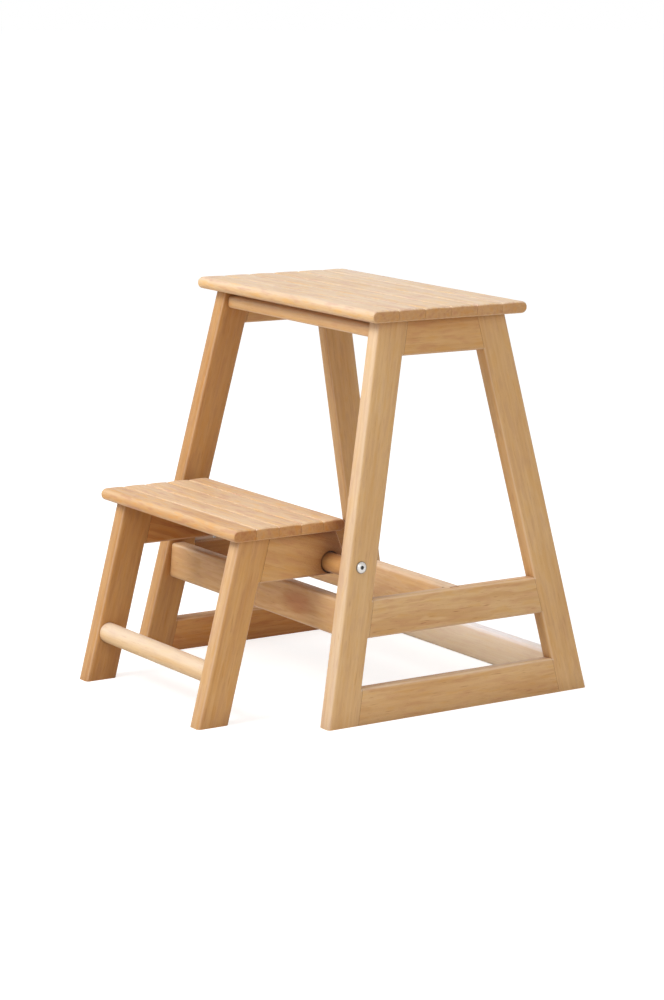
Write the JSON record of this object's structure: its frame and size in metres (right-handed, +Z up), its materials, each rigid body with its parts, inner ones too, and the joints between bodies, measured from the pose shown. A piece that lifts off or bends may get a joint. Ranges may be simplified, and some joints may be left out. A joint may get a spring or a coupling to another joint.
{
  "type": "folding step stool chair",
  "caption": "Wooden stool with a slatted seat on splayed side frames and a lower slatted step that swings up and back between them on a round rod.",
  "frame": {"origin": "on the floor, under the middle of the whole stool as it stands with its step down", "axes": "+X to the right for someone facing the step, +Y from the step towards the back of the stool, +Z up"},
  "size_m": [0.4134, 0.4945, 0.46],
  "materials": {
    "leg_wood": "fine sanded, thin clear oil",
    "rail_wood": "fine sanded, thin clear oil",
    "slat_wood": "fine sanded, thin clear oil, worn pale",
    "round_wood": "turned and sanded, thin clear oil",
    "peg_wood": "turned, bare",
    "steel": "brushed zinc-plated steel",
    "brass": "machined brass"
  },
  "bodies": {
    "main_frame": {"seat_slat_1": "slat_wood", "seat_slat_2": "slat_wood", "seat_slat_3": "slat_wood", "seat_slat_4": "slat_wood", "seat_slat_5": "slat_wood", "seat_slat_6": "slat_wood", "seat_peg_1_left": "peg_wood", "seat_peg_1_right": "peg_wood", "seat_peg_2_left": "peg_wood", "seat_peg_2_right": "peg_wood", "seat_peg_3_left": "peg_wood", "seat_peg_3_right": "peg_wood", "seat_peg_4_left": "peg_wood", "seat_peg_4_right": "peg_wood", "seat_peg_5_left": "peg_wood", "seat_peg_5_right": "peg_wood", "seat_peg_6_left": "peg_wood", "seat_peg_6_right": "peg_wood", "front_leg_left": "leg_wood", "front_leg_right": "leg_wood", "rear_leg_left": "leg_wood", "rear_leg_right": "leg_wood", "top_side_rail_left": "rail_wood", "top_side_rail_right": "rail_wood", "mid_side_rail_left": "rail_wood", "mid_side_rail_right": "rail_wood", "bottom_side_rail_left": "rail_wood", "bottom_side_rail_right": "rail_wood", "top_front_rail": "rail_wood", "top_rear_rail": "rail_wood", "front_cross_rail": "rail_wood", "mid_cross_rail": "rail_wood", "rear_bottom_rail": "rail_wood", "pivot_rod": "round_wood", "rod_pin_left": "steel", "rod_pin_right": "steel", "pivot_bolt_left": "steel", "pivot_bolt_right": "steel", "bolt_insert_left": "brass", "bolt_insert_right": "brass"},
    "step": {"step_slat_1": "slat_wood", "step_slat_2": "slat_wood", "step_slat_3": "slat_wood", "step_slat_4": "slat_wood", "step_slat_5": "slat_wood", "step_peg_1_left": "peg_wood", "step_peg_1_right": "peg_wood", "step_peg_2_left": "peg_wood", "step_peg_2_right": "peg_wood", "step_peg_3_left": "peg_wood", "step_peg_3_right": "peg_wood", "step_peg_4_left": "peg_wood", "step_peg_4_right": "peg_wood", "step_peg_5_left": "peg_wood", "step_peg_5_right": "peg_wood", "step_leg_left": "leg_wood", "step_leg_right": "leg_wood", "step_side_rail_left": "rail_wood", "step_side_rail_right": "rail_wood", "step_rung": "round_wood"}
  },
  "joints": [
    {"name": "step_fold", "type": "hinge", "parent": "main_frame", "child": "step", "pos_m": [0, -0.07373, 0.1715], "axis": [-1, 0, 0], "range_deg": [0, 162.5]}
  ]
}
